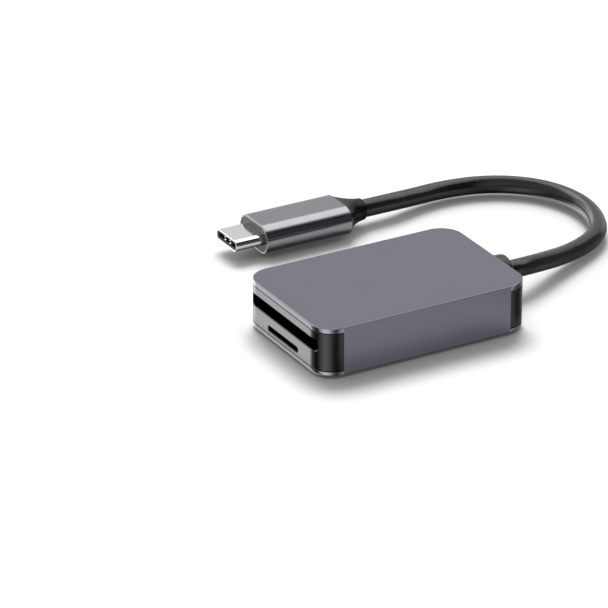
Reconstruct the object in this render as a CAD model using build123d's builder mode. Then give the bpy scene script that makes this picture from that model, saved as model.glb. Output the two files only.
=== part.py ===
"""A USB card reader: metal housing with an SD and a microSD slot, a short cable and a USB-C plug.

Millimetres, +Z up. The origin is under the middle of the housing, on the surface it rests on.
The card slots face -Y, the cable leaves towards +Y and the plug lies beside the housing at -X.
"""
from build123d import *
from math import pi, radians, tan
import os

os.makedirs("parts", exist_ok=True)

# Sheet, walls and fits
top_plate = 0.95
bottom_plate = 0.85
side_wall = 1.0
corner_radius = 4.6
edge_chamfer = 0.12
under_chamfer = 0.32
bore_corner_radius = 0.4
cap_gap = 0.14
fit = 0.05
overmould_fit = 0.03
solder_gap = 0.03

# Card slots
sd_slot_width = 24.6
sd_slot_height = 2.4
sd_slot_radius = 0.9
microsd_slot_width = 11.4
microsd_slot_height = 1.1
microsd_slot_radius = 0.5
slot_lead_in = 0.15

# End caps
cap_wall = 3.0
cap_edge_radius = 0.12
tongue_length = 4.0
top_tongue_width = 25.0
lower_tongue_width = 4.0
lower_tongue_thickness = 0.8
lower_tongue_spread = 22.0

# Circuit board and the two grooves that carry its edges
board_thickness = 0.8
groove_depth = 0.45
groove_lip = 0.65
board_side_room = 0.1
board_end_room = 0.25
electronics_bay = 14.5
wire_bay = 5.75

# SD socket, on top of the board
sd_socket_depth = 19.0
sd_floor = 0.7
sd_rail = 0.8
sd_back_wall = 1.2
sd_sheet = 0.2
sd_contact_count = 9
sd_contact_pitch = 2.5
sd_contact_width = 0.9
sd_contact_thickness = 0.15
sd_contact_reach = 6.5
sd_contact_rise = 0.5
sd_window_width = 3.0
sd_window_length = 7.0
sd_window_slit = 0.5
sd_window_spread = 13.0

# microSD socket, under the board
microsd_socket_depth = 14.0
microsd_floor = 0.4
microsd_rail = 0.8
microsd_back_wall = 1.0
microsd_sheet = 0.15
microsd_contact_count = 8
microsd_contact_pitch = 1.1
microsd_contact_width = 0.6
microsd_contact_thickness = 0.12
microsd_contact_reach = 4.5
microsd_contact_rise = 0.35

# Both sockets' contacts
contact_tail = 0.9
contact_anchor = 1.6
contact_dip = 0.2
contact_tip = 0.9
contact_side_room = 0.1

# Room round the sockets inside the housing
socket_side_room = 0.7
socket_under_room = 0.65
socket_over_room = 1.55
cap_clear = 0.12
cap_over_clear = 0.3

# Cable and its collar
cable_diameter = 3.7
exit_rise = 0.175
collar_diameter = 7.2
collar_taper = 0.2
collar_length = 3.75
collar_end_radius = 0.7
collar_neck_diameter = 4.7
collar_flange_width = 8.4
collar_flange_radius = 1.2
collar_flange_thickness = 1.2
jacket_inside = 1.3

# Conductors
wire_count = 4
wire_diameter = 0.6
wire_pitch = 0.85
wire_bend_radius = 0.7
board_pad_pitch = 2.0
board_pad_length = 2.2
board_pad_edge = 0.6
wire_lead = 0.9

# Chips on the board
controller_size = 6.0
controller_height = 0.85
controller_chamfer = 0.12
crystal_length = 3.2
crystal_width = 2.5
crystal_height = 0.7
crystal_radius = 0.4
regulator_length = 2.9
regulator_width = 1.6
regulator_height = 1.1
regulator_lead_pitch = 0.95
regulator_lead_width = 0.4
regulator_lead_length = 0.6
regulator_lead_thickness = 0.15
capacitor_count = 4
capacitor_length = 1.6
capacitor_width = 0.8
capacitor_height = 0.8
resistor_count = 4
resistor_length = 1.0
resistor_width = 0.5
resistor_height = 0.35
chip_margin = 1.2

# Plug
plug_width = 11.3
plug_height = 6.0
plug_sleeve_length = 19.2
plug_sleeve_wall = 0.4
plug_sleeve_chamfer = 0.1
plug_face_recess = 0.1
boot_length = 5.3
boot_step = 0.15
boot_end_diameter = 4.4
boot_end_chamfer = 0.15
boot_waist_width = 6.0
boot_waist_height = 4.8
boot_waist_at = 2.9
boot_end_flat = 0.2
boot_spigot = 2.1
boot_jacket_inside = 6.6

# Plug shell and what it holds
shell_width = 8.25
shell_height = 2.40
shell_reach = 6.15
shell_inside = 6.3
shell_sheet = 0.3
shell_lip_radius = 0.12
mouth_width = 6.7
mouth_height = 0.85
mouth_depth = 5.2
mouth_recess = 0.25
plug_contact_pitch = 0.5
plug_contacts_per_row = 12
plug_contact_width = 0.26
plug_contact_thickness = 0.12
plug_contact_level = 0.42
plug_contact_setback = 0.9
plug_contact_tail = 1.1
latch_sheet = 0.2
latch_arm = 0.25
latch_arm_height = 0.6
latch_bridge = 1.6
latch_setback = 1.0
ground_spring_sheet = 0.08
ground_spring_width = 5.2
ground_spring_length = 2.8
ground_spring_setback = 1.6
plug_board_thickness = 0.6
plug_board_length = 8.4
plug_pad_pitch = 1.7
plug_pad_length = 1.6
mould_cavity_width = 8.4
mould_cavity_height = 2.4

# Where the cable lies: the plug's end is fixed, the points between follow the loop
plug_x = -42.6
boot_end_y = 19.1
bend_share = 0.45

# Levels and places worked out from the sizes above
microsd_shell_bottom = bottom_plate + socket_under_room
microsd_channel_bottom = microsd_shell_bottom + microsd_sheet
microsd_channel_top = microsd_channel_bottom + microsd_slot_height
board_bottom = microsd_channel_top + microsd_floor
board_top = board_bottom + board_thickness
sd_channel_bottom = board_top + sd_floor
sd_channel_top = sd_channel_bottom + sd_slot_height
sd_shell_top = sd_channel_top + sd_sheet
bore_top = sd_shell_top + socket_over_room

housing_height = bore_top + top_plate
sd_base_width = sd_slot_width + 2 * sd_rail
sd_shell_width = sd_base_width + 2 * sd_sheet
bore_width = sd_shell_width + 2 * socket_side_room
housing_width = bore_width + 2 * side_wall
housing_length = 2 * cap_wall + board_end_room + sd_socket_depth + electronics_bay + wire_bay

half_length = housing_length / 2
bore_height = bore_top - bottom_plate
bore_middle = (bore_top + bottom_plate) / 2
wall_end = half_length - corner_radius

cap_bottom = bottom_plate + cap_gap
cap_top = bore_top - cap_gap
cap_depth = corner_radius - fit
hollow_bottom = microsd_shell_bottom - cap_clear
hollow_top = sd_shell_top + cap_over_clear
hollow_width = sd_shell_width + 2 * cap_clear

socket_front = -half_length + cap_wall + board_end_room
sd_socket_rear = socket_front + sd_socket_depth
microsd_socket_rear = socket_front + microsd_socket_depth
microsd_base_width = microsd_slot_width + 2 * microsd_rail
board_rear = half_length - cap_wall - wire_bay
board_width = bore_width - 2 * board_side_room
board_nose_width = hollow_width - 2 * cap_clear

cable_radius = cable_diameter / 2
cable_z = housing_height / 2 + exit_rise
collar_end = half_length + collar_length
jacket_end = half_length - cap_wall - collar_flange_thickness - jacket_inside
cable_bore_diameter = cable_diameter + 2 * overmould_fit

plug_z = plug_height / 2
sleeve_rear = boot_end_y - boot_length
sleeve_front = sleeve_rear - plug_sleeve_length
plug_face = sleeve_front + plug_face_recess
plug_bore_width = plug_width - 2 * plug_sleeve_wall
plug_bore_height = plug_height - 2 * plug_sleeve_wall
mould_width = plug_bore_width - 2 * overmould_fit
mould_height = plug_bore_height - 2 * overmould_fit
boot_front = sleeve_rear - boot_spigot
shell_tip = sleeve_front - shell_reach
shell_rear = plug_face + shell_inside
insulator_width = shell_width - 2 * shell_sheet - 2 * overmould_fit
insulator_height = shell_height - 2 * shell_sheet - 2 * overmould_fit
insulator_tip = shell_tip + mouth_recess
plug_board_front = shell_rear + fit
plug_board_rear = plug_board_front + plug_board_length
plug_jacket_end = boot_end_y - boot_jacket_inside

# The cable's route, from the collar round the loop to the boot
cable_route = [
    (0, collar_end, cable_z),
    (0, collar_end + 3.3, cable_z),
    (-1.6, 34.7, 4.2),
    (-5.3, 43.2, 2.4),
    (-8.5, 50.4, cable_radius),
    (-12.3, 55.7, cable_radius),
    (-18.7, 59.0, cable_radius),
    (-25.8, 60.2, cable_radius),
    (-33.4, 58.5, cable_radius),
    (-39.4, 54.1, cable_radius),
    (-43.5, 47.3, cable_radius),
    (-44.9, 39.3, 1.9),
    (-44.1, 32.2, 2.2),
    (plug_x, boot_end_y + 6.7, plug_z),
    (plug_x, boot_end_y, plug_z),
]


def level(z):
    """Horizontal plane at a height."""
    return Plane.XY.offset(z)


def across(y, x=0.0, z=0.0):
    """Upright plane across the length, facing -Y, so a negative extrusion goes towards +Y."""
    return Plane(origin=(x, y, z), x_dir=(1, 0, 0), z_dir=(0, -1, 0))


def plug_section(y):
    """Plane across the plug, centred on its axis."""
    return across(y, plug_x, plug_z)


def spread(count, pitch):
    """Evenly spaced places, centred on zero."""
    return [(i - (count - 1) / 2) * pitch for i in range(count)]


def bend_radii(points):
    """Largest even bend at each inner point of a route, from its shorter run and its turn."""
    radii = []
    for before, here, after in zip(points, points[1:], points[2:]):
        arrive = Vector(*here) - Vector(*before)
        leave = Vector(*after) - Vector(*here)
        turn = arrive.get_angle(leave)
        radii.append(bend_share * min(arrive.length, leave.length) / tan(radians(turn / 2)))
    return radii


# Housing: an extruded tube with its side walls cut back at both ends, so the plates stand out as lips
with BuildPart() as housing:
    with BuildSketch():
        RectangleRounded(housing_width, housing_length, corner_radius)
    extrude(amount=housing_height)
    chamfer(housing.faces().sort_by(Axis.Z)[-1].edges(), length=edge_chamfer)
    chamfer(housing.faces().sort_by(Axis.Z)[0].edges(), length=under_chamfer)
    with BuildSketch(across(-half_length, z=bore_middle)):
        RectangleRounded(bore_width, bore_height, bore_corner_radius)
    extrude(amount=-housing_length, mode=Mode.SUBTRACT)
    with BuildSketch(level(bottom_plate)):
        with GridLocations(0, 2 * wall_end + corner_radius, 1, 2):
            Rectangle(2 * housing_width, corner_radius)
    extrude(amount=bore_height, mode=Mode.SUBTRACT)
    with BuildSketch(across(-wall_end, z=board_bottom)):
        with GridLocations(bore_width - groove_depth, 0, 2, 1):
            Rectangle(groove_depth, groove_lip, align=(Align.CENTER, Align.MAX))
    extrude(amount=-2 * wall_end)
    with BuildSketch(across(-wall_end, z=board_top + fit)):
        with GridLocations(bore_width - groove_depth, 0, 2, 1):
            Rectangle(groove_depth, groove_lip, align=(Align.CENTER, Align.MIN))
    extrude(amount=-2 * wall_end)
housing.part.label = "aluminium_housing"
export_step(housing.part, "parts/aluminium_housing.step")

# Plain end cap: a block that fills the rounded end, hollow behind its wall, with tongues into the tube
with BuildPart() as plain_cap:
    with BuildSketch(level(cap_bottom)):
        RectangleRounded(housing_width, housing_length, corner_radius)
        with Locations((0, (cap_depth - housing_length) / 2)):
            Rectangle(housing_width, cap_depth, mode=Mode.INTERSECT)
    extrude(amount=cap_top - cap_bottom)
    for rim in plain_cap.faces().filter_by(Axis.Z):
        fillet(rim.edges().sort_by(Axis.Y)[:-1], cap_edge_radius)
    with BuildSketch(across(-half_length + cap_wall, z=hollow_bottom)):
        Rectangle(hollow_width, hollow_top - hollow_bottom, align=(Align.CENTER, Align.MIN))
    extrude(amount=-corner_radius, mode=Mode.SUBTRACT)
    with BuildSketch(across(-half_length + cap_wall, z=cap_top)):
        Rectangle(top_tongue_width, cap_top - hollow_top, align=(Align.CENTER, Align.MAX))
    with BuildSketch(across(-half_length + cap_wall, z=cap_bottom)):
        with GridLocations(lower_tongue_spread, 0, 2, 1):
            Rectangle(lower_tongue_width, lower_tongue_thickness, align=(Align.CENTER, Align.MIN))
    extrude(amount=-(corner_radius - cap_wall + tongue_length))

# Front cap: the two card slots go through its wall, with a small lead-in round each mouth
with BuildPart() as front_cap:
    add(plain_cap.part)
    uncut_edges = front_cap.edges()
    with BuildSketch(across(-half_length, z=(sd_channel_bottom + sd_channel_top) / 2)):
        RectangleRounded(sd_slot_width, sd_slot_height, sd_slot_radius)
    with BuildSketch(across(-half_length, z=(microsd_channel_bottom + microsd_channel_top) / 2)):
        RectangleRounded(microsd_slot_width, microsd_slot_height, microsd_slot_radius)
    extrude(amount=-cap_wall, mode=Mode.SUBTRACT)
    slot_mouth = -half_length + cap_wall / 2
    mouth_edges = (front_cap.edges() - uncut_edges).filter_by_position(Axis.Y, -half_length, slot_mouth)
    chamfer(mouth_edges, length=slot_lead_in)
front_cap.part.label = "front_cap"
export_step(front_cap.part, "parts/front_cap.step")

# Rear cap: the same cap turned round, with the hole for the collar's neck
with BuildPart() as rear_cap:
    mirror(plain_cap.part, about=Plane.XZ)
    with BuildSketch(across(half_length, z=cable_z)):
        Circle(collar_neck_diameter / 2 + fit)
    extrude(amount=cap_wall, mode=Mode.SUBTRACT)
rear_cap.part.label = "rear_cap"
export_step(rear_cap.part, "parts/rear_cap.step")

# Cable collar: a round, slightly tapered end outside the rear cap, a neck through its wall and a flat
# flange behind it, bored for the jacket
collar_flange_height = 2 * (hollow_top - cap_clear - cable_z)
with BuildPart() as cable_collar:
    with BuildSketch(Plane.YZ):
        with BuildLine():
            Polyline(
                (half_length - cap_wall, cable_z),
                (half_length - cap_wall, cable_z + collar_neck_diameter / 2),
                (half_length, cable_z + collar_neck_diameter / 2),
                (half_length, cable_z + collar_diameter / 2),
                (collar_end, cable_z + collar_diameter / 2 - collar_taper),
                (collar_end, cable_z),
                close=True,
            )
        make_face()
    revolve(axis=Axis((0, 0, cable_z), (0, 1, 0)))
    fillet(cable_collar.faces().sort_by(Axis.Y)[-1].edges(), collar_end_radius)
    with BuildSketch(across(half_length - cap_wall, z=cable_z)):
        RectangleRounded(collar_flange_width, collar_flange_height, collar_flange_radius)
    extrude(amount=collar_flange_thickness)
    with BuildSketch(across(collar_end, z=cable_z)):
        Circle(cable_bore_diameter / 2)
    extrude(amount=2 * housing_length, both=True, mode=Mode.SUBTRACT)
cable_collar.part.label = "cable_collar"
export_step(cable_collar.part, "parts/cable_collar.step")

# Circuit board: wide where the grooves hold it, with a narrower nose inside the front cap
with BuildPart() as circuit_board:
    with BuildSketch(level(board_bottom)):
        with Locations((0, (board_rear - wall_end) / 2)):
            Rectangle(board_width, board_rear + wall_end - 2 * fit)
        with Locations((0, socket_front)):
            Rectangle(board_nose_width, sd_socket_depth, align=(Align.CENTER, Align.MIN))
    extrude(amount=board_thickness)
circuit_board.part.label = "circuit_board"
export_step(circuit_board.part, "parts/circuit_board.step")

# SD socket base: a moulded tray with a rail on each side, a back wall and a slit for each contact
sd_contact_places = spread(sd_contact_count, sd_contact_pitch)
with BuildPart() as sd_socket_base:
    with BuildSketch(level(board_top)):
        with Locations((0, socket_front)):
            Rectangle(sd_base_width, sd_socket_depth, align=(Align.CENTER, Align.MIN))
    extrude(amount=sd_floor + sd_slot_height)
    with BuildSketch(level(sd_channel_bottom)):
        with Locations((0, socket_front)):
            Rectangle(sd_slot_width, sd_socket_depth - sd_back_wall, align=(Align.CENTER, Align.MIN))
    extrude(amount=sd_slot_height, mode=Mode.SUBTRACT)
    with BuildSketch(level(board_top)):
        with Locations(*[(x, sd_socket_rear) for x in sd_contact_places]):
            Rectangle(
                sd_contact_width + 2 * contact_side_room,
                sd_back_wall + sd_contact_reach + contact_tip,
                align=(Align.CENTER, Align.MAX),
            )
    extrude(amount=sd_floor, mode=Mode.SUBTRACT)
sd_socket_base.part.label = "sd_socket_base"
export_step(sd_socket_base.part, "parts/sd_socket_base.step")

# SD socket shell: folded sheet over the base, with two hold-down tongues slit out of its top
with BuildPart() as sd_socket_shell:
    with BuildSketch(across(socket_front, z=board_top)):
        Rectangle(sd_shell_width, sd_shell_top - board_top, align=(Align.CENTER, Align.MIN))
        Rectangle(
            sd_base_width,
            sd_channel_top - board_top,
            align=(Align.CENTER, Align.MIN),
            mode=Mode.SUBTRACT,
        )
    extrude(amount=-sd_socket_depth)
    with BuildSketch(level(sd_channel_top)):
        with Locations((0, socket_front + sd_socket_depth / 2)):
            with GridLocations(sd_window_spread, 0, 2, 1):
                Rectangle(sd_window_width, sd_window_length)
        with Locations((0, socket_front + (sd_socket_depth - sd_window_slit) / 2)):
            with GridLocations(sd_window_spread, 0, 2, 1):
                Rectangle(
                    sd_window_width - 2 * sd_window_slit,
                    sd_window_length - sd_window_slit,
                    mode=Mode.SUBTRACT,
                )
    extrude(amount=sd_sheet, mode=Mode.SUBTRACT)
sd_socket_shell.part.label = "sd_socket_shell"
export_step(sd_socket_shell.part, "parts/sd_socket_shell.step")

# SD contacts: leaf springs from a tail on the board up into the card's channel
sd_tail_level = board_top + sd_contact_thickness / 2
sd_bend = sd_socket_rear - sd_contact_reach
with BuildPart() as sd_contacts:
    with BuildSketch(*[Plane.YZ.offset(x) for x in sd_contact_places]):
        with BuildLine():
            Polyline(
                (sd_socket_rear + contact_tail, sd_tail_level),
                (sd_socket_rear - contact_anchor, sd_tail_level),
                (sd_bend, sd_channel_bottom + sd_contact_rise),
                (sd_bend - contact_tip, sd_channel_bottom + contact_dip),
            )
        trace(line_width=sd_contact_thickness)
    extrude(amount=sd_contact_width / 2, both=True)
sd_contacts.part.label = "sd_contacts"
export_step(sd_contacts.part, "parts/sd_contacts.step")

# microSD socket base: the same kind of tray, hung under the board
microsd_contact_places = spread(microsd_contact_count, microsd_contact_pitch)
with BuildPart() as microsd_socket_base:
    with BuildSketch(level(microsd_channel_bottom)):
        with Locations((0, socket_front)):
            Rectangle(microsd_base_width, microsd_socket_depth, align=(Align.CENTER, Align.MIN))
    extrude(amount=board_bottom - microsd_channel_bottom)
    with BuildSketch(level(microsd_channel_bottom)):
        with Locations((0, socket_front)):
            Rectangle(
                microsd_slot_width,
                microsd_socket_depth - microsd_back_wall,
                align=(Align.CENTER, Align.MIN),
            )
    extrude(amount=microsd_slot_height, mode=Mode.SUBTRACT)
    with BuildSketch(level(microsd_channel_top)):
        with Locations(*[(x, microsd_socket_rear) for x in microsd_contact_places]):
            Rectangle(
                microsd_contact_width + 2 * contact_side_room,
                microsd_back_wall + microsd_contact_reach + contact_tip,
                align=(Align.CENTER, Align.MAX),
            )
    extrude(amount=microsd_floor, mode=Mode.SUBTRACT)
microsd_socket_base.part.label = "microsd_socket_base"
export_step(microsd_socket_base.part, "parts/microsd_socket_base.step")

# microSD socket shell: folded sheet round the base, open towards the board
with BuildPart() as microsd_socket_shell:
    with BuildSketch(across(socket_front, z=board_bottom)):
        Rectangle(
            microsd_base_width + 2 * microsd_sheet,
            board_bottom - microsd_shell_bottom,
            align=(Align.CENTER, Align.MAX),
        )
        Rectangle(
            microsd_base_width,
            board_bottom - microsd_channel_bottom,
            align=(Align.CENTER, Align.MAX),
            mode=Mode.SUBTRACT,
        )
    extrude(amount=-microsd_socket_depth)
microsd_socket_shell.part.label = "microsd_socket_shell"
export_step(microsd_socket_shell.part, "parts/microsd_socket_shell.step")

# microSD contacts: leaf springs from a tail on the board down into the card's channel
microsd_tail_level = board_bottom - microsd_contact_thickness / 2
microsd_bend = microsd_socket_rear - microsd_contact_reach
with BuildPart() as microsd_contacts:
    with BuildSketch(*[Plane.YZ.offset(x) for x in microsd_contact_places]):
        with BuildLine():
            Polyline(
                (microsd_socket_rear + contact_tail, microsd_tail_level),
                (microsd_socket_rear - contact_anchor, microsd_tail_level),
                (microsd_bend, microsd_channel_top - microsd_contact_rise),
                (microsd_bend - contact_tip, microsd_channel_top - contact_dip),
            )
        trace(line_width=microsd_contact_thickness)
    extrude(amount=microsd_contact_width / 2, both=True)
microsd_contacts.part.label = "microsd_contacts"
export_step(microsd_contacts.part, "parts/microsd_contacts.step")

# Bay behind the SD socket: chips in one row, small parts beside them, wire pads at the rear edge
pad_front = board_rear - board_pad_edge - board_pad_length
chip_row = (sd_socket_rear + contact_tail + pad_front) / 2
controller_x = -chip_margin - controller_size / 2
crystal_x = chip_margin + crystal_length / 2
regulator_x = crystal_x + crystal_length / 2 + chip_margin + regulator_length / 2
capacitor_x = controller_x - controller_size / 2 - chip_margin
resistor_y = chip_row + crystal_width / 2 + resistor_length

# Bridge controller: flat square package
with BuildPart() as bridge_controller:
    with BuildSketch(level(board_top)):
        with Locations((controller_x, chip_row)):
            Rectangle(controller_size, controller_size)
    extrude(amount=controller_height)
    chamfer(bridge_controller.faces().sort_by(Axis.Z)[-1].edges(), length=controller_chamfer)
bridge_controller.part.label = "bridge_controller"
export_step(bridge_controller.part, "parts/bridge_controller.step")

# Crystal: small metal can
with BuildPart() as crystal:
    with BuildSketch(level(board_top)):
        with Locations((crystal_x, chip_row)):
            RectangleRounded(crystal_length, crystal_width, crystal_radius)
    extrude(amount=crystal_height)
crystal.part.label = "crystal"
export_step(crystal.part, "parts/crystal.step")

# Voltage regulator: moulded body with three leads on one side and two on the other
with BuildPart() as regulator:
    with BuildSketch(level(board_top)):
        with Locations((regulator_x, chip_row)):
            Rectangle(regulator_length, regulator_width)
    extrude(amount=regulator_height)
    lead_row = regulator_width / 2
    with BuildSketch(level(board_top)):
        for x in spread(3, regulator_lead_pitch):
            with Locations((regulator_x + x, chip_row - lead_row)):
                Rectangle(regulator_lead_width, regulator_lead_length, align=(Align.CENTER, Align.MAX))
        for x in spread(2, 2 * regulator_lead_pitch):
            with Locations((regulator_x + x, chip_row + lead_row)):
                Rectangle(regulator_lead_width, regulator_lead_length, align=(Align.CENTER, Align.MIN))
    extrude(amount=regulator_lead_thickness)
regulator.part.label = "regulator"
export_step(regulator.part, "parts/regulator.step")

# Capacitors: a column of small blocks beside the controller
with BuildPart() as capacitors:
    with BuildSketch(level(board_top)):
        with Locations(*[(capacitor_x, chip_row + y) for y in spread(capacitor_count, 2 * capacitor_width)]):
            Rectangle(capacitor_length, capacitor_width)
    extrude(amount=capacitor_height)
capacitors.part.label = "capacitors"
export_step(capacitors.part, "parts/capacitors.step")

# Resistors: a row of flat chips beside the crystal
with BuildPart() as resistors:
    with BuildSketch(level(board_top)):
        with Locations(*[(crystal_x + x, resistor_y) for x in spread(resistor_count, 2 * resistor_width)]):
            Rectangle(resistor_width, resistor_length)
    extrude(amount=resistor_height)
resistors.part.label = "resistors"
export_step(resistors.part, "parts/resistors.step")

# Cable: round jacket along its route, running on straight through the collar and through the boot
cable_radii = bend_radii(cable_route)
print("cable bend radii", [round(radius, 1) for radius in cable_radii])
with BuildPart() as cable:
    with BuildLine() as cable_line:
        FilletPolyline(*cable_route, radius=cable_radii)
    with BuildSketch(across(collar_end, z=cable_z)):
        Circle(cable_radius)
    sweep()
    with BuildSketch(across(collar_end, z=cable_z)):
        Circle(cable_radius)
    extrude(amount=collar_end - jacket_end)
    with BuildSketch(plug_section(boot_end_y)):
        Circle(cable_radius)
    extrude(amount=boot_end_y - plug_jacket_end)
cable.part.label = "cable"
export_step(cable.part, "parts/cable.step")
free_length = sum(edge.length for edge in cable_line.edges())
cable_length = free_length + collar_end - jacket_end + boot_end_y - plug_jacket_end
volume_share = cable.part.volume / (pi * cable_radius**2 * cable_length)
print("cable free length", round(free_length, 1), "volume over section times length", round(volume_share, 4))


def wire_route(start, straight, pad, pad_length):
    """Route of a conductor: straight out of the jacket, over to its pad, then flat along the pad."""
    return [
        start,
        (start[0], start[1] - straight, start[2]),
        (pad[0], pad[1] + pad_length, pad[2]),
        pad,
    ]


# Conductors inside the housing: from the jacket's end down to the pads at the board's rear edge
with BuildPart() as cable_wires:
    for x, pad_x in zip(spread(wire_count, wire_pitch), spread(wire_count, board_pad_pitch)):
        pad_point = (pad_x, pad_front, board_top + wire_diameter / 2 + solder_gap)
        route = wire_route((x, jacket_end, cable_z), wire_lead, pad_point, board_pad_length)
        with BuildLine():
            FilletPolyline(*route, radius=wire_bend_radius)
        with BuildSketch(across(jacket_end, x, cable_z)):
            Circle(wire_diameter / 2)
        sweep()
cable_wires.part.label = "cable_wires"
export_step(cable_wires.part, "parts/cable_wires.step")

# Plug sleeve: drawn aluminium tube with a bright edge at each end
with BuildPart() as plug_sleeve:
    with BuildSketch(plug_section(sleeve_front)):
        SlotOverall(plug_width, plug_height)
    extrude(amount=-plug_sleeve_length)
    chamfer(plug_sleeve.faces().filter_by(Axis.Y).edges(), length=plug_sleeve_chamfer)
    with BuildSketch(plug_section(sleeve_front)):
        SlotOverall(plug_bore_width, plug_bore_height)
    extrude(amount=-plug_sleeve_length, mode=Mode.SUBTRACT)
plug_sleeve.part.label = "plug_sleeve"
export_step(plug_sleeve.part, "parts/plug_sleeve.step")

# Inner moulding: fills the sleeve round the shell, with a cavity for the plug's own board
with BuildPart() as plug_inner_mould:
    with BuildSketch(plug_section(plug_face)):
        SlotOverall(mould_width, mould_height)
    extrude(amount=-(boot_front - plug_face))
    with BuildSketch(plug_section(plug_face)):
        SlotOverall(shell_width + 2 * overmould_fit, shell_height + 2 * overmould_fit)
    extrude(amount=-(shell_rear - plug_face), mode=Mode.SUBTRACT)
    with BuildSketch(plug_section(shell_rear)):
        Rectangle(mould_cavity_width, mould_cavity_height)
    extrude(amount=-(boot_front - shell_rear), mode=Mode.SUBTRACT)
plug_inner_mould.part.label = "plug_inner_mould"
export_step(plug_inner_mould.part, "parts/plug_inner_mould.step")

# Boot: a spigot inside the sleeve, then a waisted taper down to the cable
with BuildPart() as plug_boot:
    with BuildSketch(plug_section(sleeve_rear)):
        SlotOverall(plug_width - 2 * boot_step, plug_height - 2 * boot_step)
    with BuildSketch(plug_section(sleeve_rear + boot_waist_at)):
        SlotOverall(boot_waist_width, boot_waist_height)
    with BuildSketch(plug_section(boot_end_y)):
        SlotOverall(boot_end_diameter + boot_end_flat, boot_end_diameter)
    loft()
    chamfer(plug_boot.faces().sort_by(Axis.Y)[-1].edges(), length=boot_end_chamfer)
    with BuildSketch(plug_section(boot_front)):
        SlotOverall(mould_width, mould_height)
    extrude(amount=-boot_spigot)
    with BuildSketch(plug_section(boot_front)):
        Circle(cable_bore_diameter / 2)
    extrude(amount=-(boot_end_y - boot_front), mode=Mode.SUBTRACT)
plug_boot.part.label = "plug_boot"
export_step(plug_boot.part, "parts/plug_boot.step")

# Plug shell: drawn steel tube with a rounded front lip
with BuildPart() as plug_shell:
    with BuildSketch(plug_section(shell_tip)):
        SlotOverall(shell_width, shell_height)
        SlotOverall(shell_width - 2 * shell_sheet, shell_height - 2 * shell_sheet, mode=Mode.SUBTRACT)
    extrude(amount=-(shell_rear - shell_tip))
    fillet(plug_shell.faces().sort_by(Axis.Y)[0].edges(), shell_lip_radius)
plug_shell.part.label = "plug_shell"
export_step(plug_shell.part, "parts/plug_shell.step")

# Contact housing: insulator with the mouth, contact grooves, latch slots and seats for the ground springs
contact_groove_width = plug_contact_width + 2 * overmould_fit
contact_groove_height = plug_contact_thickness + 2 * overmould_fit
mouth_end = insulator_tip + mouth_depth
latch_tip = shell_tip + latch_setback
latch_rear = mouth_end + latch_bridge
latch_width = mouth_width + 2 * latch_arm
spring_level = insulator_height / 2 - ground_spring_sheet
spring_front = shell_tip + ground_spring_setback
plug_contact_front = shell_tip + plug_contact_setback
with BuildPart() as plug_contact_housing:
    with BuildSketch(plug_section(insulator_tip)):
        SlotOverall(insulator_width, insulator_height)
    extrude(amount=-(shell_rear - insulator_tip))
    with BuildSketch(plug_section(insulator_tip)):
        Rectangle(mouth_width, mouth_height)
    extrude(amount=-mouth_depth, mode=Mode.SUBTRACT)
    with BuildSketch(plug_section(insulator_tip)):
        with GridLocations(plug_contact_pitch, 2 * plug_contact_level, plug_contacts_per_row, 2):
            Rectangle(contact_groove_width, contact_groove_height)
    extrude(amount=-(shell_rear - insulator_tip), mode=Mode.SUBTRACT)
    with BuildSketch(plug_section(latch_tip - overmould_fit)):
        with GridLocations(mouth_width + latch_arm, 0, 2, 1):
            Rectangle(latch_arm + 2 * overmould_fit, latch_arm_height + 2 * overmould_fit)
    extrude(amount=-(mouth_end - latch_tip + overmould_fit), mode=Mode.SUBTRACT)
    with BuildSketch(plug_section(mouth_end)):
        Rectangle(latch_width + 2 * overmould_fit, latch_sheet + 2 * overmould_fit)
    extrude(amount=-(latch_bridge + overmould_fit), mode=Mode.SUBTRACT)
    with BuildSketch(plug_section(spring_front - overmould_fit)):
        with GridLocations(0, 2 * spring_level, 1, 2):
            Rectangle(ground_spring_width + 2 * overmould_fit, 2 * ground_spring_sheet)
    extrude(amount=-(ground_spring_length + 2 * overmould_fit), mode=Mode.SUBTRACT)
plug_contact_housing.part.label = "plug_contact_housing"
export_step(plug_contact_housing.part, "parts/plug_contact_housing.step")

# Plug contacts: two rows of strips, their tails over and under the plug's board
with BuildPart() as plug_contacts:
    with BuildSketch(plug_section(plug_contact_front)):
        with GridLocations(plug_contact_pitch, 2 * plug_contact_level, plug_contacts_per_row, 2):
            Rectangle(plug_contact_width, plug_contact_thickness)
    extrude(amount=-(plug_board_front + plug_contact_tail - plug_contact_front))
plug_contacts.part.label = "plug_contacts"
export_step(plug_contacts.part, "parts/plug_contacts.step")

# Latch: spring strip with an arm on each side of the mouth and a bridge behind it
with BuildPart() as plug_latch:
    with BuildSketch(plug_section(mouth_end)):
        Rectangle(latch_width, latch_sheet)
    extrude(amount=-latch_bridge)
    with BuildSketch(plug_section(latch_tip)):
        with GridLocations(mouth_width + latch_arm, 0, 2, 1):
            Rectangle(latch_arm, latch_arm_height)
    extrude(amount=-(mouth_end - latch_tip))
plug_latch.part.label = "plug_latch"
export_step(plug_latch.part, "parts/plug_latch.step")

# Ground springs: one thin plate above and one below the insulator, against the shell
with BuildPart() as plug_ground_springs:
    with BuildSketch(plug_section(spring_front)):
        with GridLocations(0, insulator_height - ground_spring_sheet, 1, 2):
            Rectangle(ground_spring_width, ground_spring_sheet)
    extrude(amount=-ground_spring_length)
plug_ground_springs.part.label = "plug_ground_springs"
export_step(plug_ground_springs.part, "parts/plug_ground_springs.step")

# Plug board: small board between the contact tails and the conductors
with BuildPart() as plug_board:
    with BuildSketch(plug_section(plug_board_front)):
        Rectangle(mould_cavity_width - 2 * fit, plug_board_thickness)
    extrude(amount=-plug_board_length)
plug_board.part.label = "plug_board"
export_step(plug_board.part, "parts/plug_board.step")

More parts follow.
